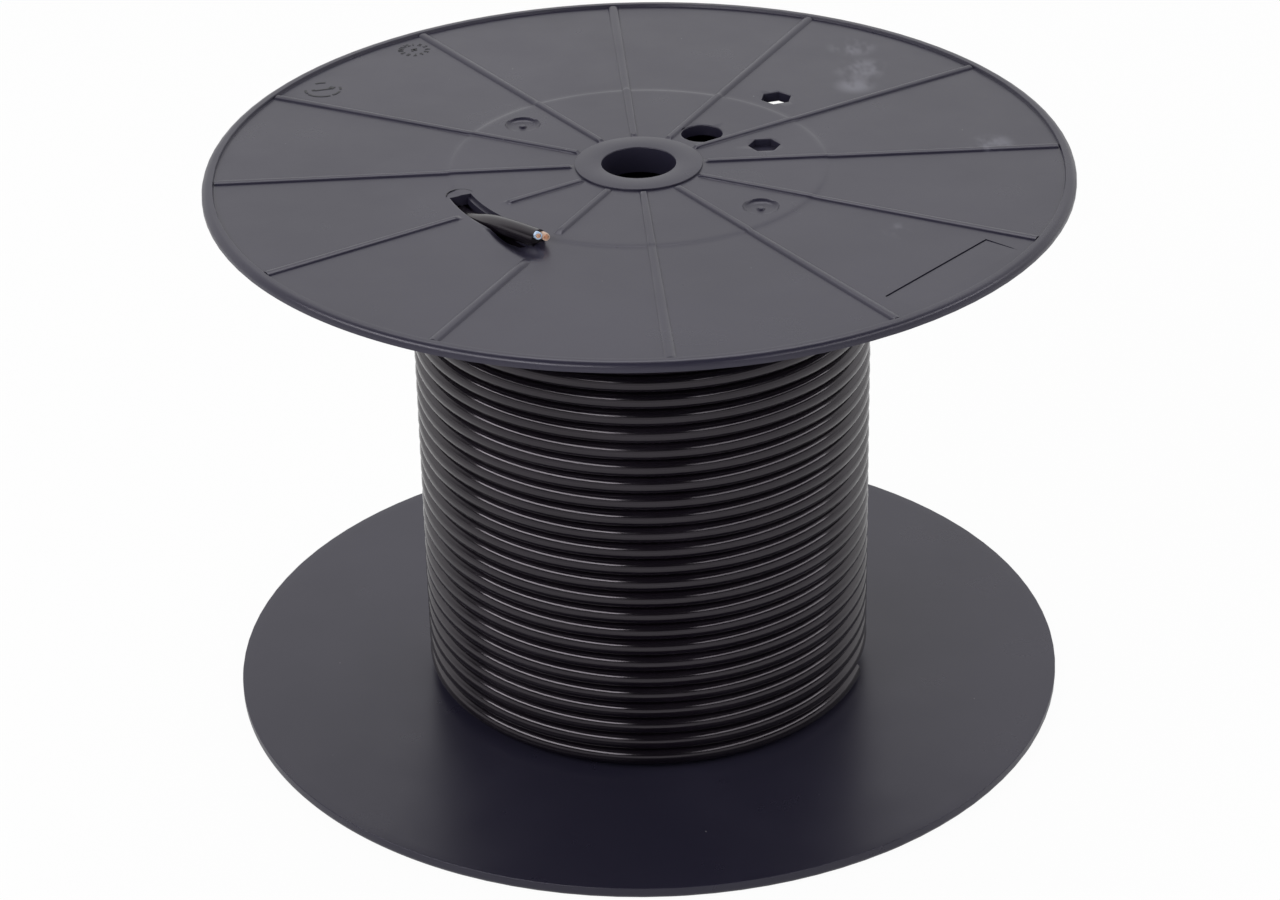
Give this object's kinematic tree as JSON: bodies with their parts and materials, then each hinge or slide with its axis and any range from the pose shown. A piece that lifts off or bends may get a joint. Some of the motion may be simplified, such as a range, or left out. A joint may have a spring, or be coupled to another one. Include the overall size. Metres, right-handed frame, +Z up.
{
  "type": "plastic cable drum with cable",
  "caption": "Moulded plastic drum standing on one ribbed flange, wound full of round two-core cable whose stripped end comes out of a slot.",
  "frame": {"origin": "on the drum's axis, at the level of the floor that the lower flange's rim stands on", "axes": "+Z up along the drum's axis; the ribs of both flanges lie at every 30 degrees from +X, and the drive holes at 45 degrees"},
  "size_m": [0.35, 0.35, 0.2413],
  "materials": {
    "drum_plastic": "satin, slightly dusty",
    "cable_jacket": "semi-gloss",
    "blue_insulation": "semi-gloss",
    "brown_insulation": "semi-gloss",
    "copper": "bright cut ends"
  },
  "bodies": {
    "root": {"flange_top": "drum_plastic", "flange_bottom": "drum_plastic", "barrel": "drum_plastic", "cable_winding": "cable_jacket", "cable_tail": "cable_jacket", "core_blue": "blue_insulation", "core_brown": "brown_insulation", "conductor_blue": "copper", "conductor_brown": "copper"}
  },
  "joints": []
}
